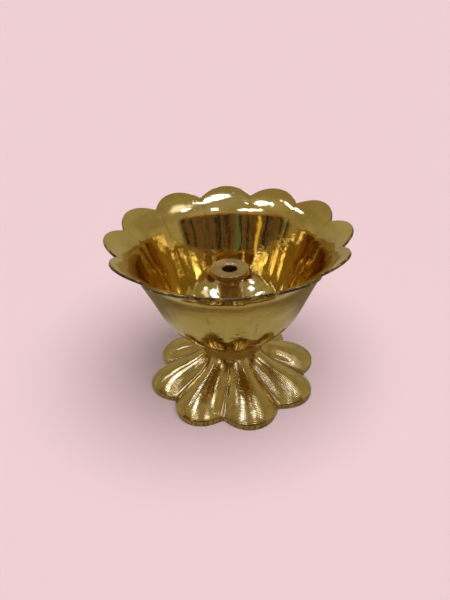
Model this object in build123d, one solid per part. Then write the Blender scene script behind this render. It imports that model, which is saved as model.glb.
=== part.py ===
from build123d import *
import os
from math import cos, sin, pi, hypot, sqrt

# Lotus diya: a cast brass oil bowl on a petal foot, clamped together
# by a stud, with a turned wick holder screwed on top of the stud.
# Millimetres, +Z up, origin at the centre of the foot on the table.
# The viewer's side of the lamp faces -Y.

# ---------------------------------------------------------------- sizes
BOWL_PETALS = 12
FOOT_LOBES = 8
BOWL_TURN = 0.0           # azimuth of one petal's centre line, degrees
FOOT_TURN = 12.8          # azimuth of one lobe's crest, degrees

BOWL_WALL_FLOOR = 1.9     # wall at the floor
BOWL_WALL_LIP = 1.0       # wall at the lip
BOWL_LIP_ROUND = 0.3      # crown of the rounded lip edge
BOWL_FLOOR_Z = 26.4       # inner floor
BOWL_BOTTOM_Z = 24.5      # scalloped lower edge
BOWL_HUB_R = 12.3         # turned seat under the bowl
BOWL_SEAT_Z = 24.3        # underside of that seat
BOWL_BOSS_R = 8.0         # raised pad inside the bowl
BOWL_BOSS_Z = 27.6        # top of the pad

FOOT_WALL = 1.8
FOOT_EDGE_WALL = 2.2      # width of the standing edge
FOOT_CROWN_Z = 16.0       # top of the foot casting
FOOT_SEAT_Z = 16.1        # machined seat for the collar
FOOT_SEAT_R = 9.2
FOOT_UNDER_Z = 13.9       # machined seat for the washer
FOOT_FILLET = 0.2         # roundness of the creases between lobes

COLLAR_TOP_R = 13.2
COLLAR_WAIST_R = 12.75    # a little below the middle
COLLAR_BASE_R = 13.1
COLLAR_STEP_R = 11.0      # where the collar stands on the foot
COLLAR_STEP_H = 1.2       # height of the slope above that

STUD_R = 3.0
STUD_BOTTOM_Z = 6.9
STUD_TOP_Z = 34.4
CLEAR_R = 3.25            # clearance hole for the stud
THREAD_R = 3.05           # running thread of the wick holder and seal

WASHER_R = 7.0
WASHER_T = 1.0
NUT_FLATS = 10.0
NUT_H = 5.0

SEAL_R = 6.2
SEAL_T = 0.8

HOLDER_STEM_R = 4.65
HOLDER_HEAD_R = 7.3
HOLDER_TOP_Z = 50.9
HOLDER_HEAD_T = 2.3       # straight side of the head
HOLDER_CONE_T = 2.5       # cone under the head
HOLDER_SOCKET_TOP_Z = 34.6
WICK_R = 2.8              # wick hole
WICK_FLOOR_Z = 36.0
PORT_R = 1.5              # cross-drilled oil port
PORT_Z = 37.8

# Outer meridians as (radius, height), bottom to top for the bowl and
# top to bottom for the foot.  "crest" is the middle of a petal or lobe,
# "valley" is the crease between two of them.
BOWL_CREST = [(13.8, 24.5), (19.6, 26.9), (24.2, 31.0), (27.6, 37.0),
              (31.0, 45.0), (34.4, 53.0), (36.0, 57.0), (38.2, 60.1),
              (41.3, 62.8), (45.0, 65.0)]
BOWL_VALLEY = [(12.8, 24.5), (19.0, 27.0), (23.95, 31.1), (27.4, 37.05),
               (30.8, 45.0), (34.15, 52.9), (35.6, 56.6), (37.2, 59.2),
               (39.0, 61.1), (40.9, 62.4)]
FOOT_CREST = [(11.1, 16.0), (12.8, 14.3), (15.9, 12.4), (19.9, 10.8),
              (24.2, 9.3), (28.4, 7.4), (31.8, 5.1), (34.0, 3.1),
              (34.6, 2.0)]
FOOT_VALLEY = [(10.7, 16.0), (11.7, 13.2), (14.0, 10.5), (17.2, 8.3),
               (20.8, 6.5), (24.2, 4.8), (27.0, 3.4), (28.7, 2.4),
               (29.1, 1.8)]


# -------------------------------------------------------------- helpers
def blend(crest, valley, w):
    return [(v[0] + (c[0] - v[0]) * w, v[1] + (c[1] - v[1]) * w)
            for c, v in zip(crest, valley)]


def offset_knots(knots, thick):
    """Each knot moved to its left by thick[i]."""
    out = []
    for i, (r, z) in enumerate(knots):
        a = knots[max(i - 1, 0)]
        b = knots[min(i + 1, len(knots) - 1)]
        dr, dz = b[0] - a[0], b[1] - a[1]
        n = hypot(dr, dz)
        out.append((r - dz / n * thick[i], z + dr / n * thick[i]))
    return out


def at(p, theta):
    return Vector(p[0] * cos(theta), p[0] * sin(theta), p[1])


def spline(points, theta):
    return Edge.make_spline([at(p, theta) for p in points])


def line(a, b, theta):
    return Edge.make_line(at(a, theta), at(b, theta))


def turned(points):
    """Solid of revolution about Z from a closed (radius, height) outline."""
    face = make_face(Polyline([(r, 0, z) for r, z in points], close=True))
    return revolve(face, Axis.Z, 360)


def single(shape):
    solids = shape.solids()
    return max(solids, key=lambda s: s.volume)


# ----------------------------------------------------------------- bowl
def bowl_section(u, theta):
    w = 1.0 - u * u
    outer = blend(BOWL_CREST, BOWL_VALLEY, w)
    n = len(outer) - 1
    wall = [BOWL_WALL_FLOOR + (BOWL_WALL_LIP - BOWL_WALL_FLOOR) * i / n
            for i in range(n + 1)]
    inner = offset_knots(outer, wall)
    inner[0] = (inner[0][0] - 0.6, BOWL_FLOOR_Z)
    a, b = outer[-1], inner[-1]
    # crown of the lip, pushed outwards along the wall's own direction
    p = outer[-2]
    dr, dz = a[0] - p[0], a[1] - p[1]
    m = hypot(dr, dz)
    crown = ((a[0] + b[0]) / 2 + dr / m * BOWL_LIP_ROUND,
             (a[1] + b[1]) / 2 + dz / m * BOWL_LIP_ROUND)
    lip = Edge.make_three_point_arc(at(a, theta), at(crown, theta), at(b, theta))
    r_in = BOWL_BOSS_R - 1.0
    edges = [
        spline(outer, theta),
        lip,
        spline(inner[::-1], theta),
        line(inner[0], (r_in, BOWL_FLOOR_Z), theta),
        line((r_in, BOWL_FLOOR_Z), (r_in, BOWL_BOTTOM_Z), theta),
        line((r_in, BOWL_BOTTOM_Z), outer[0], theta),
    ]
    return Wire(edges)


def make_bowl():
    step = 2 * pi / BOWL_PETALS
    us = [-1, -0.75, -0.5, -0.25, 0, 0.25, 0.5, 0.75, 1]
    petal = Solid.make_loft([bowl_section(u, u * step / 2) for u in us])
    petals = [petal.rotate(Axis.Z, BOWL_TURN + 360 / BOWL_PETALS * k)
              for k in range(BOWL_PETALS)]
    hub = turned([(CLEAR_R, BOWL_SEAT_Z), (BOWL_HUB_R, BOWL_SEAT_Z),
                  (BOWL_HUB_R, 25.4), (BOWL_BOSS_R, 25.4),
                  (BOWL_BOSS_R, BOWL_BOSS_Z - 0.3),
                  (BOWL_BOSS_R - 0.3, BOWL_BOSS_Z), (CLEAR_R, BOWL_BOSS_Z)])
    return single(petals[0].fuse(*petals[1:], single(hub)))


# ----------------------------------------------------------------- foot
def foot_section(v, theta):
    # the dome between two creases is a parabola, with its creases rounded
    e = FOOT_FILLET
    f = 1.0 - (1.0 - abs(v)) ** 2
    w = (sqrt(f * f + e * e) - e) / (sqrt(1 + e * e) - e)
    outer = blend(FOOT_CREST, FOOT_VALLEY, w)
    n = len(outer)
    inner = offset_knots(outer, [-FOOT_WALL] * n)
    edge_r = outer[-1][0]
    inner[0] = (inner[0][0], FOOT_UNDER_Z + 0.2)
    inner = inner[:-1] + [(edge_r - FOOT_EDGE_WALL, min(1.0, inner[-2][1] - 0.5))]
    r_in = FOOT_SEAT_R - 1.0
    edges = [
        line((r_in, FOOT_CROWN_Z), outer[0], theta),
        spline(outer, theta),
        line(outer[-1], (edge_r, 0), theta),
        line((edge_r, 0), (inner[-1][0], 0), theta),
        line((inner[-1][0], 0), inner[-1], theta),
        spline(inner[::-1], theta),
        line(inner[0], (r_in, FOOT_UNDER_Z + 0.2), theta),
        line((r_in, FOOT_UNDER_Z + 0.2), (r_in, FOOT_CROWN_Z), theta),
    ]
    return Wire(edges)


def make_foot():
    step = 2 * pi / FOOT_LOBES
    vs = [-1, -0.8, -0.6, -0.42, -0.26, -0.12, 0,
          0.12, 0.26, 0.42, 0.6, 0.8, 1]
    lobe = Solid.make_loft([foot_section(v, v * step / 2) for v in vs])
    # the loft runs crest to crest with the valley in its middle
    start = FOOT_TURN + 180 / FOOT_LOBES
    lobes = [lobe.rotate(Axis.Z, start + 360 / FOOT_LOBES * k)
             for k in range(FOOT_LOBES)]
    hub = turned([(CLEAR_R, FOOT_UNDER_Z), (FOOT_SEAT_R, FOOT_UNDER_Z),
                  (FOOT_SEAT_R, FOOT_SEAT_Z), (CLEAR_R, FOOT_SEAT_Z)])
    shell = single(lobes[0].fuse(*lobes[1:]))
    return single(shell.fuse(single(hub)))


# --------------------------------------------------------------- collar
def make_collar():
    top, base = BOWL_SEAT_Z, FOOT_SEAT_Z
    low = base + COLLAR_STEP_H
    side = Edge.make_spline([Vector(COLLAR_BASE_R, 0, low),
                             Vector(COLLAR_WAIST_R, 0, low + 2.4),
                             Vector(COLLAR_WAIST_R, 0, low + 4.0),
                             Vector(COLLAR_TOP_R, 0, top - 0.35)])
    ring = [Edge.make_line((CLEAR_R, 0, base), (COLLAR_STEP_R, 0, base)),
            Edge.make_line((COLLAR_STEP_R, 0, base), (COLLAR_BASE_R, 0, low)),
            side,
            Edge.make_line((COLLAR_TOP_R, 0, top - 0.35),
                           (COLLAR_TOP_R - 0.2, 0, top)),
            Edge.make_line((COLLAR_TOP_R - 0.2, 0, top), (CLEAR_R, 0, top)),
            Edge.make_line((CLEAR_R, 0, top), (CLEAR_R, 0, base))]
    return single(revolve(make_face(ring), Axis.Z, 360))


# ----------------------------------------------------------- wick holder
def make_holder():
    z0 = BOWL_BOSS_Z + SEAL_T
    z_head = HOLDER_TOP_Z - HOLDER_HEAD_T
    z_cone = z_head - HOLDER_CONE_T
    body = turned([
        (THREAD_R + 0.35, z0), (HOLDER_STEM_R - 0.25, z0),
        (HOLDER_STEM_R, z0 + 0.25), (HOLDER_STEM_R, z_cone),
        (HOLDER_HEAD_R, z_head), (HOLDER_HEAD_R, HOLDER_TOP_Z - 0.3),
        (HOLDER_HEAD_R - 0.3, HOLDER_TOP_Z), (WICK_R + 0.9, HOLDER_TOP_Z),
        (WICK_R + 0.75, HOLDER_TOP_Z - 0.18), (WICK_R + 0.3, HOLDER_TOP_Z - 0.18),
        (WICK_R, HOLDER_TOP_Z - 0.5), (WICK_R, WICK_FLOOR_Z),
        (0, WICK_FLOOR_Z - 0.4), (0, HOLDER_SOCKET_TOP_Z),
        (THREAD_R, HOLDER_SOCKET_TOP_Z), (THREAD_R, z0 + 0.35)])
    port = Cylinder(PORT_R, 4 * HOLDER_STEM_R, rotation=(0, 90, 0)).moved(
        Location((0, 0, PORT_Z)))
    return single(body - port)


# -------------------------------------------------------------- hardware
def make_stud():
    c = 0.5
    return single(turned([(0, STUD_BOTTOM_Z), (STUD_R - c, STUD_BOTTOM_Z),
                          (STUD_R, STUD_BOTTOM_Z + c), (STUD_R, STUD_TOP_Z - c),
                          (STUD_R - c, STUD_TOP_Z), (0, STUD_TOP_Z)]))


def make_washer():
    z1 = FOOT_UNDER_Z
    z0 = z1 - WASHER_T
    return single(turned([(CLEAR_R, z0), (WASHER_R - 0.2, z0),
                          (WASHER_R, z0 + 0.2), (WASHER_R, z1), (CLEAR_R, z1)]))


def make_nut():
    z1 = FOOT_UNDER_Z - WASHER_T
    z0 = z1 - NUT_H
    flats = NUT_FLATS / 2
    hexagon = RegularPolygon(radius=flats, side_count=6, major_radius=False)
    prism = extrude(Pos(0, 0, z0) * hexagon, NUT_H)
    crown = turned([(0, z0), (flats, z0), (flats / cos(pi / 6) + 0.1, z0 + 0.5),
                    (flats / cos(pi / 6) + 0.1, z1 - 0.5), (flats, z1), (0, z1)])
    bore = Cylinder(STUD_R, NUT_H * 3).moved(Location((0, 0, (z0 + z1) / 2)))
    return single((prism & crown) - bore)


def make_seal():
    z0 = BOWL_BOSS_Z
    z1 = z0 + SEAL_T
    return single(turned([(THREAD_R, z0), (SEAL_R, z0), (SEAL_R, z1),
                          (THREAD_R, z1)]))


PARTS = {
    "lotus_bowl": make_bowl,
    "petal_foot": make_foot,
    "neck_collar": make_collar,
    "wick_holder": make_holder,
    "holder_seal": make_seal,
    "tie_stud": make_stud,
    "foot_washer": make_washer,
    "foot_nut": make_nut,
}

os.makedirs("parts", exist_ok=True)
for name, make in PARTS.items():
    solid = make()
    solid.label = name
    print(name, round(solid.volume, 1), solid.is_valid, len(solid.faces()))
    export_step(solid, f"parts/{name}.step")
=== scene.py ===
# Lotus diya: polished cast brass bowl and foot, turned collar and wick holder.
import math

import bpy
import numpy as np
from mathutils import Matrix, Vector


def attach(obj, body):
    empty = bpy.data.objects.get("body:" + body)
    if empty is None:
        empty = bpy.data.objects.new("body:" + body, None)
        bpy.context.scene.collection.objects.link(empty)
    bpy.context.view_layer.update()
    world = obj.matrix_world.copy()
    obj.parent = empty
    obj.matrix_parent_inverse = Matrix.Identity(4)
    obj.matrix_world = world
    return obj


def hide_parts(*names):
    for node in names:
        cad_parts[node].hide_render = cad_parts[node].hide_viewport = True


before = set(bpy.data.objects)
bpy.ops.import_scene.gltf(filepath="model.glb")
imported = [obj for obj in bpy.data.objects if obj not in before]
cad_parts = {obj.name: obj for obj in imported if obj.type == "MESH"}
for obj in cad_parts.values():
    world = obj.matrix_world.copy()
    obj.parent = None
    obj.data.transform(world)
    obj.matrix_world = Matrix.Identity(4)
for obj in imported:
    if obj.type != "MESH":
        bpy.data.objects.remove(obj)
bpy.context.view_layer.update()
MM = 0.001

# ---------------------------------------------------------------- sizes (mm)
PETALS, LOBES = 12, 8
FOOT_TURN = math.radians(12.8)
BOWL_CREST = [(13.8, 24.5), (19.6, 26.9), (24.2, 31.0), (27.6, 37.0), (31.0, 45.0),
              (34.4, 53.0), (36.0, 57.0), (38.2, 60.1), (41.3, 62.8), (45.0, 65.0)]
BOWL_VALLEY = [(12.8, 24.5), (19.0, 27.0), (23.95, 31.1), (27.4, 37.05), (30.8, 45.0),
               (34.15, 52.9), (35.6, 56.6), (37.2, 59.2), (39.0, 61.1), (40.9, 62.4)]
FOOT_CREST = [(11.1, 16.0), (12.8, 14.3), (15.9, 12.4), (19.9, 10.8), (24.2, 9.3),
              (28.4, 7.4), (31.8, 5.1), (34.0, 3.1), (34.6, 2.0)]
FOOT_VALLEY = [(10.7, 16.0), (11.7, 13.2), (14.0, 10.5), (17.2, 8.3), (20.8, 6.5),
               (24.2, 4.8), (27.0, 3.4), (28.7, 2.4), (29.1, 1.8)]


# ---------------------------------------------------------------- curves
def natural_spline(knots, t):
    """Natural cubic through the knots, which sit at t = 0, 1, 2, ..."""
    y = np.asarray(knots, float)
    n = len(y)
    a = np.zeros((n, n))
    b = np.zeros_like(y)
    a[0, 0] = a[-1, -1] = 1.0
    for i in range(1, n - 1):
        a[i, i - 1:i + 2] = (1.0, 4.0, 1.0)
        b[i] = 6.0 * (y[i + 1] - 2 * y[i] + y[i - 1])
    m = np.linalg.solve(a, b)
    t = np.asarray(t, float)
    k = np.clip(np.floor(t).astype(int), 0, n - 2)
    f = (t - k)[:, None]
    g = 1.0 - f
    return (g * y[k] + f * y[k + 1]
            + ((g ** 3 - g) * m[k] + (f ** 3 - f) * m[k + 1]) / 6.0)


def left_normal(p):
    """Unit normals, to the left of travel, of curves p[i, j, (r, z)] run along i."""
    d = np.gradient(p, axis=0)
    n = np.stack([-d[..., 1], d[..., 0]], -1)
    return n / np.linalg.norm(n, axis=-1, keepdims=True)


def bezier(a, b, c, d, t):
    t = t[:, None, None]
    return ((1 - t) ** 3 * a + 3 * (1 - t) ** 2 * t * b
            + 3 * (1 - t) * t ** 2 * c + t ** 3 * d)


def waves(p, size, seed, count=14):
    """Smooth, repeatable unevenness with a wavelength near size, about -1 to 1."""
    rng = np.random.RandomState(seed)
    out = np.zeros(p.shape[:-1])
    for _ in range(count):
        d = rng.normal(size=3)
        d /= np.linalg.norm(d)
        k = 2 * math.pi / (size * rng.uniform(0.7, 1.6))
        out += np.sin((p @ d) * k + rng.uniform(0, 2 * math.pi))
    return out / math.sqrt(count)


def half_petal_steps():
    # distance from the crease, 0 at the crease and 1 at the petal's middle
    return np.array([0, .007, .015, .025, .037, .052, .07, .092, .12, .155, .2,
                     .255, .32, .4, .49, .59, .7, .8, .9, 1.0])


def around(count):
    """Azimuth and crease distance of every column, once round."""
    h = half_petal_steps()
    ang, dist = [], []
    for k in range(count):
        for i in range(len(h) - 1):
            ang.append((k - 0.5 + h[i] / 2) / count)
            dist.append(h[i])
        for i in range(len(h) - 1, 0, -1):
            ang.append((k + 0.5 - h[i] / 2) / count)
            dist.append(h[i])
    return np.array(ang) * 2 * math.pi, np.array(dist)


def rounded(f, eps):
    return (np.sqrt(f * f + eps * eps) - eps) / (math.sqrt(1 + eps * eps) - eps)


# ---------------------------------------------------------------- mesh helpers
def ring_mesh(name, prof, ang, attrs=None, smooth=32.0):
    """A closed body from profile loops prof[i, j, (r, z)] at azimuths ang[j], in mm."""
    ni, nj = prof.shape[:2]
    r, z = prof[..., 0], prof[..., 1]
    co = np.stack([r * np.cos(ang), r * np.sin(ang), z], -1) * MM
    idx = np.arange(ni * nj).reshape(ni, nj)
    a = idx
    b = np.roll(idx, -1, 1)
    c = np.roll(b, -1, 0)
    d = np.roll(idx, -1, 0)
    quads = np.stack([a, b, c, d], -1).reshape(-1, 4)
    return build(name, co.reshape(-1, 3), quads, attrs, smooth)


def build(name, co, quads, attrs=None, smooth=32.0):
    me = bpy.data.meshes.new(name)
    me.vertices.add(len(co))
    me.vertices.foreach_set("co", np.asarray(co, np.float32).ravel())
    me.loops.add(quads.size)
    me.loops.foreach_set("vertex_index", quads.astype(np.int32).ravel())
    me.polygons.add(len(quads))
    me.polygons.foreach_set("loop_start", np.arange(0, quads.size, 4, dtype=np.int32))
    me.update(calc_edges=True)
    me.validate()
    for key, val in (attrs or {}).items():
        at = me.attributes.new(key, "FLOAT", "POINT")
        at.data.foreach_set("value", np.asarray(val, np.float32).ravel())
    me.shade_smooth()
    me.set_sharp_from_angle(angle=math.radians(smooth))
    ob = bpy.data.objects.new(name, me)
    bpy.context.scene.collection.objects.link(ob)
    return ob


def turned_mesh(name, outline, segments=192, smooth=25.0, closed_axis=False):
    """A turned body: the (r, z) outline is a closed loop that stays off the axis."""
    ang = np.linspace(0, 2 * math.pi, segments, endpoint=False)
    p = np.asarray(outline, float)
    prof = np.repeat(p[:, None, :], segments, 1)
    seg = np.linalg.norm(np.diff(p, axis=0, prepend=p[:1]), axis=1)
    arc = np.repeat(np.cumsum(seg)[:, None], segments, 1)
    return ring_mesh(name, prof, ang, {"arc": arc}, smooth)


def dense(points, step=0.35):
    """Straight runs divided into short ones; corners keep their place."""
    out = []
    n = len(points)
    for i in range(n):
        a, b = np.array(points[i], float), np.array(points[(i + 1) % n], float)
        k = max(1, int(np.ceil(np.linalg.norm(b - a) / step)))
        for j in range(k):
            out.append(tuple(a + (b - a) * j / k))
    return out


# ---------------------------------------------------------------- bowl
def make_bowl():
    ang, dist = around(PETALS)
    t = np.concatenate([np.linspace(0, 6, 60, endpoint=False), np.linspace(6, 9, 44)])
    crest = natural_spline(BOWL_CREST, t)[:, None, :]
    valley = natural_spline(BOWL_VALLEY, t)[:, None, :]
    f = 2 * dist - dist ** 2
    s = (t / 9.0)[:, None]
    # creases are soft outside, tighter at the rim
    soft_out = np.broadcast_to(rounded(f, 0.06), (len(t), len(f)))
    tight = np.broadcast_to(rounded(f, 0.045), (len(t), len(f)))
    k = np.clip((s - 0.7) / 0.3, 0, 1) ** 2
    w_out = soft_out * (1 - k) + tight * k
    outer = valley + (crest - valley) * w_out[..., None]
    base = valley + (crest - valley) * tight[..., None]
    wall = (1.9 + (1.0 - 1.9) * s)[..., None]
    nrm = left_normal(base)
    inner = base + nrm * wall
    # hand polishing leaves both faces slightly uneven
    def pos(p):
        return np.stack([p[..., 0] * np.cos(ang), p[..., 0] * np.sin(ang), p[..., 1]], -1)
    fade = np.clip(s * 4, 0, 1) * np.clip((1 - s) * 9, 0.25, 1)
    bump_o = waves(pos(outer), 17, 3) * 0.045 + waves(pos(outer), 7.5, 5) * 0.012
    bump_i = waves(pos(inner), 15, 8) * 0.035 + waves(pos(inner), 6.5, 9) * 0.008
    outer = outer - nrm * ((bump_o + 0.05) * fade * 0.8)[..., None] * -1.0
    inner = inner + nrm * (bump_i * fade)[..., None]
    arc = t * 4.6
    # lip: half round from the outer edge over to the inner one
    a, b = outer[-1], inner[-1]
    tan = outer[-1] - outer[-3]
    tan /= np.linalg.norm(tan, axis=-1, keepdims=True)
    mid, half = (a + b) / 2, (b - a) / 2
    ph = np.linspace(0, math.pi, 11)[1:-1]
    # the lip was filed by hand, so its crown is a little uneven
    rag = waves(pos(mid), 3.2, 61) * 0.5 + waves(pos(mid), 1.3, 62) * 0.5
    tall = (0.10 + 0.035 * np.clip(rag, -1.6, 1.0))[:, None]
    lip = np.stack([mid - half * math.cos(p) + tan * tall * math.sin(p) ** 0.8 for p in ph])
    # the tips are filed level
    for edge in (outer, inner, lip):
        edge[..., 1] = np.where(edge[..., 1] > 65.6, 65.6 + (edge[..., 1] - 65.6) * 0.8, edge[..., 1])
    # inner wall runs down into the floor
    i0 = int(np.argmin(np.abs(t - 1.25)))
    inner_down = inner[i0:][::-1]
    p0 = inner[i0]
    d0 = inner[i0] - inner[i0 + 1]
    d0 /= np.linalg.norm(d0, axis=-1, keepdims=True)
    p3 = np.stack([np.full(len(ang), 13.2), np.full(len(ang), 26.4)], -1)
    p1 = p0 + d0 * 2.6
    p2 = p3 + np.array([2.6, 0.0])
    floor_in = bezier(p0[None], p1[None], p2[None], p3[None], np.linspace(0, 1, 14)[1:])
    def flat(points):
        q = np.asarray(points, float)
        return np.repeat(q[:, None, :], len(ang), 1)
    boss = flat([(10.2, 26.4), (9.0, 26.4), (8.35, 26.42), (8.1, 26.55), (8.0, 26.8), (8.0, 27.25),
                 (7.93, 27.45), (7.75, 27.58), (7.5, 27.6), (6.4, 27.6), (5.0, 27.6), (3.5, 27.6),
                 (3.25, 27.5), (3.25, 26.0), (3.25, 24.5), (3.3, 24.3), (6.0, 24.3),
                 (9.0, 24.3), (12.0, 24.3), (12.25, 24.34), (12.3, 24.46)])
    under = flat([(12.45, 24.5)])
    prof = np.concatenate([outer, lip, inner_down, floor_in, boss, under])
    n_out, n_lip, n_in = len(outer), len(lip), len(inner_down)
    rows = len(prof)
    ref = np.zeros(rows)
    length = np.linalg.norm(np.diff(prof[:, 19], axis=0, prepend=prof[:1, 19]), axis=1)
    ref = np.cumsum(length)
    side = np.zeros(rows)
    side[n_out + n_lip:n_out + n_lip + n_in + len(floor_in)] = 1.0
    lipd = np.full(rows, 99.0)
    mid_lip = ref[n_out + n_lip // 2]
    lipd = np.abs(ref - mid_lip)
    J = len(ang)
    attrs = {"arc": np.repeat(ref[:, None], J, 1), "inside": np.repeat(side[:, None], J, 1),
             "lip": np.repeat(lipd[:, None], J, 1), "crease": np.repeat(dist[None], rows, 0)}
    return ring_mesh("bowl_casting", prof, ang, attrs, 50)


# ---------------------------------------------------------------- foot
def make_foot():
    ang, dist = around(LOBES)
    ang = ang + FOOT_TURN
    w = rounded(2 * dist - dist ** 2, 0.2)
    t = np.linspace(0, 8, 110)
    crest = natural_spline(FOOT_CREST, t)[:, None, :]
    valley = natural_spline(FOOT_VALLEY, t)[:, None, :]
    s = (t / 8.0)[:, None]
    w2 = np.broadcast_to(w, (len(t), len(w)))
    outer = valley + (crest - valley) * w2[..., None]
    nrm = left_normal(outer)      # points up and out: the profile runs outwards and down
    inner = outer - nrm * 1.8
    def pos(p):
        return np.stack([p[..., 0] * np.cos(ang), p[..., 0] * np.sin(ang), p[..., 1]], -1)
    fade = np.clip(s * 5, 0, 1) * np.clip((1 - s) * 8, 0, 1)
    bump = waves(pos(outer), 12, 21) * 0.05 + waves(pos(outer), 5.5, 22) * 0.014
    outer = outer + nrm * ((bump - 0.05) * fade)[..., None]
    edge = outer[-1]
    er = edge[:, 0]
    def at(dr, z):
        return np.stack([er + dr, np.full(len(er), z)], -1)[None]
    wob = waves(pos(np.stack([er, np.zeros(len(er))], -1)), 6, 31)
    band = np.concatenate([at(0, 1.7), at(0.0, 1.35), at(0.0, 1.0), at(0.0, 0.6), at(-0.02, 0.25),
                           at(-0.09, 0.07), at(-0.22, 0.0), at(-0.7, 0.0), at(-1.4, 0.0),
                           at(-1.95, 0.0), at(-2.13, 0.06), at(-2.2, 0.25), at(-2.2, 0.8)])
    # the underside is left as cast
    i1 = int(np.argmin(np.abs(t - 6.6)))
    i2 = int(np.argmin(np.abs(t - 0.9)))
    rough = waves(pos(inner), 4.0, 41) * 0.06 + waves(pos(inner), 1.6, 42) * 0.03
    inner = inner + nrm * (rough)[..., None]
    j = inner[i1]
    start = at(-2.2, 0.8)[0]
    d0 = inner[i1 + 2] - inner[i1]
    d0 /= np.linalg.norm(d0, axis=-1, keepdims=True)
    join = bezier(start[None], start[None] + np.array([0, 0.9]), j[None] + d0 * 0.9, j[None],
                  np.linspace(0, 1, 9)[1:-1])
    under = inner[i2:i1 + 1][::-1]
    q = inner[i2]
    seat = np.stack([np.full(len(er), 9.2), np.full(len(er), 14.05)], -1)
    d1 = inner[i2] - inner[i2 + 2]
    d1 /= np.linalg.norm(d1, axis=-1, keepdims=True)
    crown = bezier(q[None], q[None] + d1 * 0.8, seat[None] + np.array([0.9, 0.0]), seat[None],
                   np.linspace(0, 1, 8)[1:])
    def flat(points):
        p = np.asarray(points, float)
        return np.repeat(p[:, None, :], len(ang), 1)
    hub = flat([(9.2, 13.95), (9.1, 13.9), (7.5, 13.9), (5.0, 13.9), (3.4, 13.9), (3.25, 14.05),
                (3.25, 15.0), (3.25, 16.0), (3.4, 16.1), (6.0, 16.1), (9.0, 16.1), (9.2, 16.05),
                (9.25, 16.0), (10.2, 16.0)])
    prof = np.concatenate([outer, band, join, under, crown, hub])
    rows, J = len(prof), len(ang)
    length = np.linalg.norm(np.diff(prof[:, 19], axis=0, prepend=prof[:1, 19]), axis=1)
    ref = np.cumsum(length)
    band_mask = np.zeros(rows)
    n_o = len(outer)
    band_mask[n_o:n_o + 7] = 1.0
    # the file ran over the shoulder in places, and the band's painted shade fades up onto it too
    run = np.clip(1 - (ref[n_o] - ref[:n_o]) / 1.1, 0, 1)
    band_mask[:n_o] = run
    under_mask = np.zeros(rows)
    under_mask[n_o + 10:n_o + len(band) + len(join) + len(under) + len(crown)] = 1.0
    attrs = {"arc": np.repeat(ref[:, None], J, 1), "crease": np.repeat(dist[None], rows, 0),
             "band": np.repeat(band_mask[:, None], J, 1), "cast": np.repeat(under_mask[:, None], J, 1)}
    return ring_mesh("foot_casting", prof, ang, attrs, 50)


# ---------------------------------------------------------------- turned pieces
def make_collar():
    side = natural_spline([(13.1, 17.35), (12.75, 19.7), (12.75, 21.3), (13.2, 23.95)], np.linspace(0, 3, 70))
    # fine steps left by the turning tool
    k = np.arange(len(side))
    side[:, 0] -= 0.02 * (np.sin(k * 1.9) * 0.5 + 0.5)
    pts = [(3.25, 16.1), (7.0, 16.1), (10.85, 16.1), (11.1, 16.16), (12.0, 16.66), (12.9, 17.15), (13.05, 17.25)]
    pts += [tuple(p) for p in side]
    pts += [(13.2, 24.1), (13.14, 24.24), (13.0, 24.3), (8.0, 24.3), (3.25, 24.3), (3.25, 20.0)]
    return turned_mesh("collar_ring", pts, 256, 40)


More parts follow.
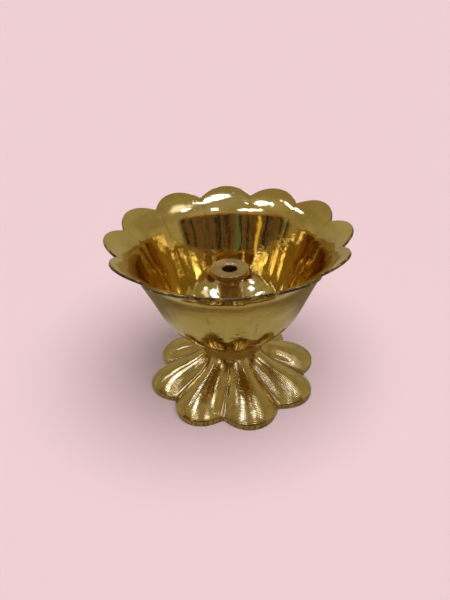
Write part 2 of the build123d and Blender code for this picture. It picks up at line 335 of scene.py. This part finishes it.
def make_holder():
    z0, ztop = 28.4, 50.9
    zc, zh = 46.1, 48.6
    pts = [(3.4, z0), (4.4, z0), (4.57, z0 + 0.07), (4.65, z0 + 0.25)]
    # stem with two shallow tool grooves low down, then the cone and the head
    pts += [(4.65, 30.0), (4.65, 33.0), (4.65, 36.0), (4.65, 40.0), (4.65, 43.0), (4.65, zc - 0.3)]
    pts += [(4.68, zc - 0.1), (4.78, zc + 0.1)]
    pts += [(4.78 + (7.18 - 4.78) * f, zc + 0.1 + (zh - zc - 0.1) * f) for f in np.linspace(0.08, 1, 10)]
    pts += [(7.27, zh + 0.08), (7.3, zh + 0.25), (7.3, 49.3), (7.3, 50.0), (7.3, ztop - 0.3)]
    pts += [(7.27, ztop - 0.16), (7.19, ztop - 0.06), (7.05, ztop)]
    # face of the head: very slightly dished by facing off, ring round the hole
    for r in np.linspace(6.8, 4.0, 18):
        pts.append((r, ztop - 0.012 * (1 - ((r - 5.3) / 1.7) ** 2)))
    pts += [(3.7, ztop), (3.6, ztop - 0.05), (3.52, ztop - 0.15), (3.4, ztop - 0.18), (3.2, ztop - 0.18),
            (3.08, ztop - 0.22), (2.95, ztop - 0.33), (2.84, ztop - 0.48), (2.8, ztop - 0.65)]
    pts += [(2.8, 49.0), (2.8, 46.0), (2.8, 43.0), (2.8, 40.0), (2.8, 38.0), (2.8, 36.2), (2.6, 36.0),
            (1.2, 35.9), (0.05, 35.85), (0.05, 34.6), (1.5, 34.6), (3.05, 34.6), (3.05, 33.0),
            (3.05, 31.0), (3.05, 28.8), (3.15, 28.6)]
    ob = turned_mesh("wick_spool", pts, 192, 40)
    cut = bpy.data.objects.new("cut", bpy.data.meshes.new("cut"))
    bpy.context.scene.collection.objects.link(cut)
    n = 40
    a = np.linspace(0, 2 * math.pi, n, endpoint=False)
    ring = np.stack([np.zeros(n), 1.5 * np.cos(a), 37.8 + 1.5 * np.sin(a)], -1)
    v = np.concatenate([ring + [-9, 0, 0], ring + [9, 0, 0]]) * MM
    faces = [(i, (i + 1) % n, n + (i + 1) % n, n + i) for i in range(n)]
    faces += [tuple(range(n - 1, -1, -1)), tuple(range(n, 2 * n))]
    cut.data.from_pydata([tuple(p) for p in v], [], faces)
    cut.data.update()
    m = ob.modifiers.new("port", "BOOLEAN")
    m.object = cut
    m.operation = "DIFFERENCE"
    m.solver = "EXACT"
    dg = bpy.context.evaluated_depsgraph_get()
    me = bpy.data.meshes.new_from_object(ob.evaluated_get(dg))
    ob.modifiers.clear()
    ob.data = me
    bpy.data.objects.remove(cut)
    me.shade_smooth()
    me.set_sharp_from_angle(angle=math.radians(38))
    return ob


def make_stud():
    """Stud with a rolled thread; the helix runs its whole length."""
    pitch, r_out, depth = 1.0, 3.0, 0.52
    z0, z1 = 6.9, 34.4
    seg, per = 72, 12
    rows = int((z1 - z0) / pitch * per) + 1
    zz = np.linspace(z0, z1, rows)
    ang = np.linspace(0, 2 * math.pi, seg, endpoint=False)
    Z, A = np.meshgrid(zz, ang, indexing="ij")
    ph = (Z / pitch - A / (2 * math.pi)) % 1.0
    tri = np.abs(ph * 2 - 1)
    cutd = depth * np.clip((tri - 0.12) / 0.8, 0, 1)
    end = np.clip(np.minimum(Z - z0, z1 - Z) / 0.8, 0, 1)
    R = (r_out - 0.55 * (1 - end)) - cutd * end
    prof = np.stack([R, Z], -1)
    cap0 = np.stack([np.stack([np.full(seg, r), np.full(seg, z0)], -1) for r in (0.05, 1.2, 2.2)])
    cap1 = np.stack([np.stack([np.full(seg, r), np.full(seg, z1)], -1) for r in (2.2, 1.2, 0.05)])
    return ring_mesh("stud_thread", np.concatenate([cap0, prof, cap1]), ang, None, 50)


def make_nut():
    z0, z1 = 7.9, 12.9
    n = 6 * 24
    ang = np.linspace(0, 2 * math.pi, n, endpoint=False)
    # flats face +-Y, as on the CAD nut
    flat_r = 5.0 / np.cos((ang - math.pi / 6 + math.pi / 6) % (math.pi / 3) - math.pi / 6)
    corner = 5.0 / math.cos(math.pi / 6)
    phi = (ang + math.pi / 6) % (math.pi / 3) - math.pi / 6
    hexa = 5.0 / np.cos(phi)
    hexa = np.roll(hexa, 12)          # corners on the X axis
    hexa = np.minimum(hexa, corner - 0.12)
    def ring(r, z):
        r = np.broadcast_to(r, (n,))
        return np.stack([r, np.broadcast_to(z, (n,))], -1)
    drop = np.clip(hexa - 5.0, 0, None) * 0.58
    rows = [ring(3.05, z0 + 0.45), ring(3.4, z0), ring(4.7, z0), ring(4.95, z0 + 0.02)]
    for f in (0.0, 0.3, 0.6, 1.0):
        rows.append(ring(5.0 + (hexa - 5.0) * f, z0 + 0.03 + drop * f))
    for f in np.linspace(0, 1, 8)[1:]:
        rows.append(ring(hexa, z0 + 0.03 + drop + (z1 - z0 - 0.06 - 2 * drop) * f))
    for f in (0.6, 0.3, 0.0):
        rows.append(ring(5.0 + (hexa - 5.0) * f, z1 - 0.03 - drop * f))
    rows += [ring(4.7, z1), ring(3.4, z1), ring(3.05, z1 - 0.45), ring(3.05, (z0 + z1) / 2)]
    return ring_mesh("nut_hex", np.stack(rows), ang, None, 28)


def make_washer():
    return turned_mesh("washer_ring", [(3.25, 12.9), (6.8, 12.9), (6.94, 12.96), (7.0, 13.1), (7.0, 13.8),
                                       (6.95, 13.9), (3.25, 13.9)], 160, 40)


def make_seal():
    return turned_mesh("seal_ring", [(3.05, 27.6), (6.05, 27.6), (6.17, 27.66), (6.2, 27.8), (6.2, 28.2),
                                     (6.17, 28.34), (6.05, 28.4), (3.05, 28.4)], 160, 40)


# ---------------------------------------------------------------- materials
class Nodes:
    def __init__(self, name=None, tree=None):
        if tree is not None:
            self.t = tree
            return
        self.mat = bpy.data.materials.new(name)
        self.mat.use_nodes = True
        self.t = self.mat.node_tree
        self.t.nodes.clear()
        self.out = self.t.nodes.new("ShaderNodeOutputMaterial")
        self.bsdf = self.t.nodes.new("ShaderNodeBsdfPrincipled")
        self.t.links.new(self.bsdf.outputs[0], self.out.inputs[0])

    def put(self, socket, value):
        if isinstance(value, bpy.types.NodeSocket):
            self.t.links.new(value, socket)
        elif value is not None:
            socket.default_value = value

    def math(self, op, a, b=None, c=None, clamp=False):
        n = self.t.nodes.new("ShaderNodeMath")
        n.operation = op
        n.use_clamp = clamp
        for i, v in enumerate((a, b, c)):
            self.put(n.inputs[i], v)
        return n.outputs[0]

    def vec(self, x, y, z):
        n = self.t.nodes.new("ShaderNodeCombineXYZ")
        for i, v in enumerate((x, y, z)):
            self.put(n.inputs[i], v)
        return n.outputs[0]

    def attr(self, name):
        n = self.t.nodes.new("ShaderNodeAttribute")
        n.attribute_name = name
        return n.outputs["Fac"]

    def noise(self, vector, scale, detail=3.0, rough=0.5, distort=0.0):
        n = self.t.nodes.new("ShaderNodeTexNoise")
        self.put(n.inputs["Vector"], vector)
        n.inputs["Scale"].default_value = scale
        n.inputs["Detail"].default_value = detail
        n.inputs["Roughness"].default_value = rough
        n.inputs["Distortion"].default_value = distort
        return n.outputs[0]

    def voronoi(self, vector, scale, feature="F1", rand=1.0):
        n = self.t.nodes.new("ShaderNodeTexVoronoi")
        n.feature = feature
        self.put(n.inputs["Vector"], vector)
        n.inputs["Scale"].default_value = scale
        n.inputs["Randomness"].default_value = rand
        return n.outputs[0]

    def ramp(self, fac, lo, hi, a=0.0, b=1.0):
        n = self.t.nodes.new("ShaderNodeMapRange")
        n.interpolation_type = "SMOOTHSTEP"
        self.put(n.inputs["Value"], fac)
        n.inputs["From Min"].default_value = lo
        n.inputs["From Max"].default_value = hi
        n.inputs["To Min"].default_value = a
        n.inputs["To Max"].default_value = b
        return n.outputs[0]

    def mix(self, fac, a, b):
        n = self.t.nodes.new("ShaderNodeMix")
        n.data_type = "RGBA"
        self.put(n.inputs[0], fac)
        for k, v in ((6, a), (7, b)):
            self.put(n.inputs[k], v if isinstance(v, bpy.types.NodeSocket) else (*v, 1.0))
        return n.outputs[2]

    def bump(self, height, distance, strength=1.0, normal=None):
        n = self.t.nodes.new("ShaderNodeBump")
        n.inputs["Strength"].default_value = strength
        n.inputs["Distance"].default_value = distance
        self.put(n.inputs["Height"], height)
        if normal is not None:
            self.put(n.inputs["Normal"], normal)
        return n.outputs[0]

    def coords(self):
        """Object position in metres, with its radius and direction from the axis."""
        tc = self.t.nodes.new("ShaderNodeTexCoord").outputs["Object"]
        sep = self.t.nodes.new("ShaderNodeSeparateXYZ")
        self.put(sep.inputs[0], tc)
        x, y, z = sep.outputs
        r = self.math("SQRT", self.math("ADD", self.math("MULTIPLY", x, x),
                                        self.math("MULTIPLY", y, y)))
        rr = self.math("MAXIMUM", r, 0.0005)
        return tc, x, y, z, r, self.math("DIVIDE", x, rr), self.math("DIVIDE", y, rr)


BRASS = (0.66, 0.455, 0.115)
BRASS_DEEP = (0.62, 0.415, 0.095)
BRASS_PALE = (0.68, 0.485, 0.135)
TARNISH = (0.30, 0.17, 0.045)
GRIME = (0.035, 0.022, 0.010)


def brass(name, rough, base=BRASS):
    m = Nodes(name)
    b = m.bsdf
    b.inputs["Metallic"].default_value = 1.0
    b.inputs["IOR"].default_value = 1.45
    b.inputs["Roughness"].default_value = rough
    return m


def mat_bowl():
    m = brass("polished_cast_brass", 0.08)
    tc, x, y, z, r, cx, cy = m.coords()
    arc = m.attr("arc")
    inside, lip, crease = m.attr("inside"), m.attr("lip"), m.attr("crease")
    cloud = m.noise(tc, 48, 4, 0.55, 0.4)
    cloud2 = m.noise(tc, 170, 4, 0.6, 0.3)
    tone = m.mix(m.ramp(cloud, 0.34, 0.66), BRASS_DEEP, BRASS_PALE)
    # thin brown film in patches, thicker where petals meet and low in the bowl
    film = m.ramp(cloud2, 0.52, 0.78, 0, 0.32)
    near = m.math("MULTIPLY", m.ramp(crease, 0.0, 0.12, 1.0, 0.0), m.ramp(m.noise(tc, 260, 3), 0.4, 0.62))
    low = m.math("MULTIPLY", inside, m.ramp(z, 0.040, 0.027, 0.0, 0.25))
    film = m.math("MAXIMUM", film, m.math("MULTIPLY", near, 0.4))
    film = m.math("MAXIMUM", film, low)
    tone = m.mix(film, tone, TARNISH)
    # marks of the polishing wheel: fine lines along the petals and short ones across
    along = m.noise(m.vec(m.math("MULTIPLY", cx, 95.0), m.math("MULTIPLY", cy, 95.0),
                          m.math("MULTIPLY", arc, 0.12)), 1.0, 3, 0.65, 0.15)
    across = m.noise(m.vec(m.math("MULTIPLY", cx, 7.0), m.math("MULTIPLY", cy, 7.0),
                           m.math("MULTIPLY", arc, 2.6)), 1.0, 3, 0.65, 0.3)
    ripple = m.noise(m.vec(m.math("MULTIPLY", cx, 9.0), m.math("MULTIPLY", cy, 9.0),
                           m.math("MULTIPLY", arc, 1.1)), 1.0, 2, 0.5, 0.6)
    hair = m.ramp(m.noise(m.vec(m.math("MULTIPLY", x, 900.0), m.math("MULTIPLY", y, 60.0),
                                m.math("MULTIPLY", z, 260.0)), 1.0, 2, 0.5, 0.8), 0.66, 0.70)
    hair2 = m.ramp(m.noise(m.vec(m.math("MULTIPLY", x, 110.0), m.math("MULTIPLY", y, 700.0),
                                 m.math("MULTIPLY", z, 420.0)), 1.0, 2, 0.5, 0.8), 0.66, 0.70)
    hairs = m.math("MAXIMUM", hair, hair2)
    pits = m.ramp(m.voronoi(tc, 430), 0.0, 0.12, 1.0, 0.0)
    pits = m.math("MULTIPLY", pits, m.ramp(m.noise(tc, 120, 2), 0.6, 0.66))
    tone = m.mix(m.math("MULTIPLY", pits, 0.85), tone, GRIME)
    # the lip is painted dark: painted shade darkens its base colour to stand in for the dark it faces, lighter
    # in noise patches
    edge = m.ramp(lip, 0.42, 0.66, 1.0, 0.0)
    lip_shade_breakup = m.ramp(m.noise(tc, 330, 3, 0.6), 0.50, 0.60)
    tone = m.mix(m.math("MULTIPLY", edge, m.ramp(lip_shade_breakup, 0, 1, 0.85, 0.2)), tone, (0.13, 0.08, 0.028))
    m.put(m.bsdf.inputs["Base Color"], tone)
    rough = m.math("ADD", m.ramp(cloud, 0.3, 0.75, 0.015, 0.05),
                   m.math("MULTIPLY", m.ramp(along, 0.5, 0.75), 0.035))
    rough = m.math("ADD", rough, m.math("MULTIPLY", film, 0.10))
    rough = m.math("ADD", rough, m.math("MULTIPLY", m.math("SUBTRACT", 1.0, inside), 0.03))
    rough = m.math("ADD", rough, m.math("MULTIPLY", edge, 0.22))
    m.put(m.bsdf.inputs["Roughness"], rough)
    n1 = m.bump(m.noise(tc, 85, 2, 0.5, 0.6), 0.00022)
    n2 = m.bump(along, 0.0000045, 1.0, n1)
    n3 = m.bump(m.math("ADD", m.math("MULTIPLY", across, 0.35), ripple), 0.000018, 1.0, n2)
    n4 = m.bump(hairs, -0.000006, 1.0, n3)
    n5 = m.bump(pits, -0.0001, 0.8, n4)
    n6 = m.bump(m.math("MULTIPLY", m.noise(tc, 1400, 3, 0.7), edge), 0.00012, 1.0, n5)
    m.put(m.bsdf.inputs["Normal"], n6)
    return m.mat


def mat_foot():
    m = brass("filed_cast_brass", 0.14)
    tc, x, y, z, r, cx, cy = m.coords()
    arc, crease = m.attr("arc"), m.attr("crease")
    band, cast = m.attr("band"), m.attr("cast")
    cloud = m.noise(tc, 60, 4, 0.55, 0.4)
    fine = m.noise(tc, 240, 3, 0.6)
    tone = m.mix(m.ramp(cloud, 0.3, 0.7), BRASS_DEEP, BRASS_PALE)
    near = m.math("MULTIPLY", m.ramp(crease, 0.02, 0.22, 1.0, 0.0), m.ramp(fine, 0.3, 0.6, 0.5, 1.0))
    film = m.math("MAXIMUM", m.math("MULTIPLY", near, 0.78), m.ramp(fine, 0.5, 0.75, 0.12, 0.5))
    tone = m.mix(film, tone, TARNISH)
    pits = m.math("MULTIPLY", m.ramp(m.voronoi(tc, 330), 0.0, 0.15, 1.0, 0.0),
                  m.ramp(m.noise(tc, 130, 2), 0.54, 0.60))
    tone = m.mix(m.math("MULTIPLY", pits, 0.95), tone, GRIME)
    # rings left by the file round the lobes, broken and uneven
    wob = m.noise(tc, 140, 2)
    ring = m.math("SINE", m.math("ADD", m.math("MULTIPLY", arc, 10.5), m.math("MULTIPLY", wob, 9.0)))
    ring_amt = m.ramp(m.noise(tc, 75, 2), 0.36, 0.60, 0.2, 1.0)
    rings = m.math("MULTIPLY", ring, ring_amt)
    streak = m.noise(m.vec(m.math("MULTIPLY", cx, 10.0), m.math("MULTIPLY", cy, 10.0),
                           m.math("MULTIPLY", arc, 6.5)), 1.0, 3, 0.65, 0.4)
    tone = m.mix(m.math("MULTIPLY", m.ramp(rings, -0.2, -1.0), 0.42), tone, TARNISH)
    # the standing edge is draw-filed: upright marks and duller; its darker colour is part file marks, part
    # painted shade
    strokes = m.noise(m.vec(m.math("MULTIPLY", x, 2300.0), m.math("MULTIPLY", y, 2300.0),
                            m.math("MULTIPLY", z, 160.0)), 1.0, 2, 0.5)
    filed_band_and_shade_tone = m.mix(m.ramp(strokes, 0.40, 0.60), (0.10, 0.06, 0.02), (0.42, 0.28, 0.085))
    tone = m.mix(m.math("MULTIPLY", band, 0.85), tone, filed_band_and_shade_tone)
    tone = m.mix(m.math("MULTIPLY", cast, 0.65), tone, (0.33, 0.22, 0.07))
    m.put(m.bsdf.inputs["Base Color"], tone)
    rough = m.math("ADD", m.ramp(cloud, 0.3, 0.75, 0.02, 0.07), m.math("MULTIPLY", band, 0.24))
    rough = m.math("ADD", rough, m.math("MULTIPLY", cast, 0.34))
    rough = m.math("ADD", rough, m.math("MULTIPLY", film, 0.12))
    m.put(m.bsdf.inputs["Roughness"], rough)
    n1 = m.bump(m.noise(tc, 110, 2, 0.5, 0.5), 0.00018)
    face = m.math("SUBTRACT", 1.0, m.math("MAXIMUM", band, cast))
    n2 = m.bump(m.math("MULTIPLY", rings, face), 0.000013, 1.0, n1)
    n3 = m.bump(m.math("MULTIPLY", streak, face), 0.000017, 1.0, n2)
    n4 = m.bump(m.math("MULTIPLY", strokes, band), 0.00014, 1.0, n3)
    n5 = m.bump(m.math("MULTIPLY", m.noise(tc, 900, 4, 0.7), cast), 0.0003, 1.0, n4)
    n6 = m.bump(pits, -0.00014, 0.9, n5)
    m.put(m.bsdf.inputs["Normal"], n6)
    return m.mat


def mat_turned(name, base, deep, rough, pitch=0.35, strength=0.000010, dull=0.0, pocks=0.0):
    m = brass(name, rough)
    tc, x, y, z, r, cx, cy = m.coords()
    arc = m.attr("arc")
    cloud = m.noise(tc, 120, 4, 0.55, 0.4)
    tone = m.mix(m.ramp(cloud, 0.35, 0.7), base, deep)
    spots = m.ramp(m.noise(tc, 520, 4, 0.65), 0.56, 0.70)
    tone = m.mix(m.math("MULTIPLY", spots, 0.35 + dull), tone, TARNISH)
    line = m.noise(m.vec(m.math("MULTIPLY", cx, 1.2), m.math("MULTIPLY", cy, 1.2),
                         m.math("MULTIPLY", arc, 2.4 / pitch)), 1.0, 2, 0.6)
    tone = m.mix(m.ramp(line, 0.54, 0.68, 0, 0.5), tone, TARNISH)
    pock = m.math("MULTIPLY", m.ramp(m.noise(tc, 1100, 3, 0.6), 0.55, 0.62), pocks)
    # only the shank is pocked, the face of the head was turned clean
    pock = m.math("MULTIPLY", pock, m.ramp(z, 0.0455, 0.0465, 1.0, 0.0))
    tone = m.mix(m.math("MULTIPLY", pock, 0.8), tone, GRIME)
    m.put(m.bsdf.inputs["Base Color"], tone)
    rr = m.math("ADD", m.ramp(cloud, 0.3, 0.7, rough - 0.04, rough + 0.08),
                m.math("MULTIPLY", spots, 0.12))
    m.put(m.bsdf.inputs["Roughness"], rr)
    groove = m.math("SINE", m.math("MULTIPLY", arc, 2 * math.pi / pitch))
    n1 = m.bump(groove, strength)
    n2 = m.bump(line, strength * 3, 1.0, n1)
    n3 = m.bump(m.noise(tc, 420, 3), 0.00006, 0.7, n2)
    n4 = m.bump(pock, -0.00012, 0.8, n3)
    m.put(m.bsdf.inputs["Normal"], n4)
    return m.mat


def mat_hardware():
    m = brass("machined_brass", 0.3)
    tc, x, y, z, r, cx, cy = m.coords()
    cloud = m.noise(tc, 260, 4, 0.6)
    tone = m.mix(m.ramp(cloud, 0.35, 0.7), BRASS_DEEP, BRASS_PALE)
    stain = m.ramp(m.noise(tc, 700, 4, 0.7), 0.55, 0.75)
    tone = m.mix(m.math("MULTIPLY", stain, 0.5), tone, TARNISH)
    m.put(m.bsdf.inputs["Base Color"], tone)
    m.put(m.bsdf.inputs["Roughness"], m.ramp(cloud, 0.3, 0.75, 0.24, 0.42))
    m.put(m.bsdf.inputs["Normal"], m.bump(m.noise(tc, 900, 3), 0.00008, 0.6))
    return m.mat


def mat_seal():
    m = Nodes("fibre_washer")
    tc, x, y, z, r, cx, cy = m.coords()
    fleck = m.noise(tc, 1500, 4, 0.7)
    tone = m.mix(m.ramp(fleck, 0.35, 0.7), (0.045, 0.016, 0.010), (0.13, 0.045, 0.025))
    m.put(m.bsdf.inputs["Base Color"], tone)
    m.put(m.bsdf.inputs["Roughness"], m.ramp(fleck, 0.3, 0.7, 0.45, 0.75))
    m.put(m.bsdf.inputs["Normal"], m.bump(fleck, 0.00008, 0.6))
    return m.mat


# ---------------------------------------------------------------- assemble
def place(ob, node, body, mat):
    ob.data.materials.clear()
    ob.data.materials.append(mat)
    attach(ob, body)
    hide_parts(node)


hardware = mat_hardware()
place(make_bowl(), "lotus_bowl", "lamp", mat_bowl())
place(make_foot(), "petal_foot", "lamp", mat_foot())
# painted reflection: the collar's base colours are a darker, deeper amber than the brass, standing in for the
# amber light it reflects from the foot
place(make_collar(), "neck_collar", "lamp", mat_turned("collar_brass_painted_amber_reflection", (0.50, 0.275, 0.05), (0.42, 0.21, 0.035), 0.20, 0.55, 0.000012))
place(make_holder(), "wick_holder", "holder", mat_turned("turned_holder_brass", (0.54, 0.37, 0.125), (0.46, 0.29, 0.08), 0.24, 0.3, 0.000006, 0.15, 0.8))
place(make_stud(), "tie_stud", "lamp", hardware)
place(make_washer(), "foot_washer", "lamp", hardware)
place(make_nut(), "foot_nut", "lamp", hardware)
place(make_seal(), "holder_seal", "seal", mat_seal())

# ---------------------------------------------------------------- stage
def plane(name, size):
    me = bpy.data.meshes.new(name)
    me.from_pydata([(-size, -size, 0), (size, -size, 0), (size, size, 0), (-size, size, 0)],
                   [], [(0, 1, 2, 3)])
    ob = bpy.data.objects.new(name, me)
    bpy.context.scene.collection.objects.link(ob)
    return ob


floor = plane("floor", 6.0)
m = Nodes("pale_floor")
m.bsdf.inputs["Base Color"].default_value = (0.86, 0.625, 0.65, 1)
m.bsdf.inputs["Roughness"].default_value = 0.9
m.bsdf.inputs["Specular IOR Level"].default_value = 0.0
floor.data.materials.append(m.mat)
floor.visible_glossy = False

# painted reflection: a glowing sheet, seen only in the metal's reflections, stands in for the table: light near
# the foot, darkest just past it as painted shadow, then a little dimmer than near the foot further out
table_reflection_sheet = plane("painted_table_reflection", 2.5)
table_reflection_sheet.location.z = -0.0004
m = Nodes("painted_table_reflection")
m.t.nodes.remove(m.bsdf)
tc, x, y, z, r, cx, cy = m.coords()
near = m.ramp(r, 0.040, 0.056, 1.0, 0.0)
far = m.ramp(r, 0.060, 0.16, 0.0, 1.0)
tone = m.mix(near, (0.20, 0.165, 0.115), (0.44, 0.42, 0.35))
tone = m.mix(far, tone, (0.40, 0.385, 0.35))
em = m.t.nodes.new("ShaderNodeEmission")
m.put(em.inputs["Color"], tone)
m.t.links.new(em.outputs[0], m.out.inputs[0])
table_reflection_sheet.data.materials.append(m.mat)
table_reflection_sheet.visible_camera = False
table_reflection_sheet.visible_diffuse = False
table_reflection_sheet.visible_shadow = False
table_reflection_sheet.visible_transmission = False

# soft overhead light for the floor and whatever is not metal
sun = bpy.data.lights.new("overhead", "SUN")
sun.energy = 3.25
sun.angle = math.radians(70)
ob = bpy.data.objects.new("overhead", sun)
bpy.context.scene.collection.objects.link(ob)
ob.rotation_euler = (math.radians(12), math.radians(8), 0)
ob.visible_glossy = False

# the studio round the lamp, as directions: z up, +Y behind the lamp, -Y the viewer's side
world = bpy.data.worlds.new("studio")
bpy.context.scene.world = world
world.use_nodes = True
world.cycles_visibility.diffuse = False
w = Nodes(tree=world.node_tree)
bg = w.t.nodes["Background"]
gen = w.t.nodes.new("ShaderNodeTexCoord").outputs["Generated"]
sep = w.t.nodes.new("ShaderNodeSeparateXYZ")
w.put(sep.inputs[0], gen)
dx, dy, dz = sep.outputs
az = w.math("MULTIPLY", w.math("ARCTAN2", dx, w.math("MULTIPLY", dy, -1.0)), 57.29578)   # 0 at the viewer
el = w.math("MULTIPLY", w.math("ARCSINE", dz), 57.29578)


def dot(v):
    n = w.t.nodes.new("ShaderNodeVectorMath")
    n.operation = "DOT_PRODUCT"
    w.put(n.inputs[0], gen)
    n.inputs[1].default_value = v
    return n.outputs["Value"]


def softbox(a, e, half_w, half_h, soft=0.25, roll=0.0):
    """Mask of a soft rectangle at azimuth a (0 = viewer's side, + = right) and elevation e."""
    a, e = math.radians(a), math.radians(e)
    c = Vector((math.sin(a) * math.cos(e), -math.cos(a) * math.cos(e), math.sin(e)))
    t = Vector((math.cos(a), math.sin(a), 0.0))
    u = t.cross(c)
    q = Matrix.Rotation(math.radians(roll), 3, c)
    t, u = q @ t, q @ u
    fwd_ = dot(c)
    safe = w.math("MAXIMUM", fwd_, 0.05)
    gx = w.math("ABSOLUTE", w.math("DIVIDE", dot(t), safe))
    gy = w.math("ABSOLUTE", w.math("DIVIDE", dot(u), safe))
    tw, th = math.tan(math.radians(half_w)), math.tan(math.radians(half_h))
    k = w.math("MULTIPLY", w.ramp(gx, tw * (1 - soft), tw * (1 + soft), 1.0, 0.0),
               w.ramp(gy, th * (1 - soft), th * (1 + soft), 1.0, 0.0))
    return w.math("MULTIPLY", k, w.math("GREATER_THAN", fwd_, 0.1))


def band_az(a0, a1, soft=2.0):
    return w.math("MULTIPLY", w.ramp(az, a0 - soft, a0 + soft), w.ramp(az, a1 - soft, a1 + soft, 1.0, 0.0))


def band_el(e0, e1, soft=2.0):
    return w.math("MULTIPLY", w.ramp(el, e0 - soft, e0 + soft), w.ramp(el, e1 - soft, e1 + soft, 1.0, 0.0))


drift = w.noise(gen, 1.6, 2, 0.5)
tone = w.mix(w.ramp(drift, 0.35, 0.65), (0.35, 0.325, 0.28), (0.47, 0.455, 0.40))
# the ceiling on the viewer's side is brighter and cooler
ceil = w.math("MULTIPLY", w.ramp(el, 44, 60), w.ramp(dy, 0.25, -0.25))
tone = w.mix(w.math("MULTIPLY", ceil, w.ramp(drift, 0.35, 0.65, 0.2, 0.9)), tone, (0.52, 0.60, 0.86))
# the room behind the viewer is dim, with upright shapes in it
room = w.math("MULTIPLY", band_az(-80, 66, 5.0), w.ramp(el, 29, 35, 1.0, 0.0))
shape = w.noise(w.vec(w.math("MULTIPLY", az, 0.13), w.math("MULTIPLY", el, 0.035), 0.0), 1.0, 3, 0.6)
dim = w.mix(w.ramp(shape, 0.42, 0.54), (0.035, 0.03, 0.032), (0.16, 0.105, 0.075))
dim = w.mix(band_az(-21, -13, 1.0), dim, (0.13, 0.19, 0.17))
dim = w.mix(w.math("MULTIPLY", band_az(-43, -38, 1.0), band_el(6, 25, 1.5)), dim, (1.0, 0.78, 0.28))
dim = w.mix(band_el(27, 32, 1.5), dim, (0.34, 0.14, 0.10))
tone = w.mix(room, tone, dim)
total = tone


def glow(mask, colour):
    """Adds a light of this colour and strength to the studio."""
    global total
    n = w.t.nodes.new("ShaderNodeMix")
    n.data_type = "RGBA"
    n.blend_type = "ADD"
    w.put(n.inputs[0], mask)
    w.put(n.inputs[6], total)
    n.inputs[7].default_value = (*colour, 1.0)
    total = n.outputs[2]


glow(softbox(50, 79, 5.5, 9, 0.3), (6.0, 8.0, 24.0))
glow(softbox(-62, 61, 6.5, 4.5, 0.3), (6.0, 8.0, 24.0))
glow(softbox(-110, 53, 2.2, 9, 0.35), (6.0, 8.0, 24.0))
glow(softbox(78, 58, 9, 7, 0.4), (1.1, 1.25, 2.8))
glow(softbox(62, 53, 3, 3, 0.3), (5.0, 6.5, 18.0))
glow(softbox(-36, 45, 11, 2.2, 0.3), (3.4, 4.2, 12.0))
glow(softbox(20, 47, 5, 3, 0.3), (3.0, 3.6, 10.0))
w.put(bg.inputs["Color"], total)
bg.inputs["Strength"].default_value = 1.0

# ---------------------------------------------------------------- camera
cam_data = bpy.data.cameras.new("camera")
cam = bpy.data.objects.new("camera", cam_data)
bpy.context.scene.collection.objects.link(cam)
cam_data.sensor_width = 36.0
cam_data.lens = 546.47 / 600.0 * 36.0
cam_data.clip_start = 0.01
pitch, yaw, roll = (math.radians(v) for v in (32.88, -0.71, -2.49))
fwd = Vector((math.sin(yaw) * math.cos(pitch), math.cos(yaw) * math.cos(pitch), -math.sin(pitch)))
right = Vector((math.cos(yaw), -math.sin(yaw), 0.0))
up = right.cross(fwd)
r2 = right * math.cos(roll) + up * math.sin(roll)
u2 = up * math.cos(roll) - right * math.sin(roll)
turn = Matrix.Rotation(math.radians(-0.93), 4, "Z")
rot = Matrix((r2, u2, -fwd)).transposed().to_4x4()
cam.matrix_world = turn @ Matrix.Translation((0.0, -0.17834, 0.15181)) @ rot
bpy.context.scene.camera = cam

sc = bpy.context.scene
sc.view_settings.view_transform = "Standard"
sc.cycles.max_bounces = 12
sc.cycles.glossy_bounces = 10
sc.cycles.diffuse_bounces = 3
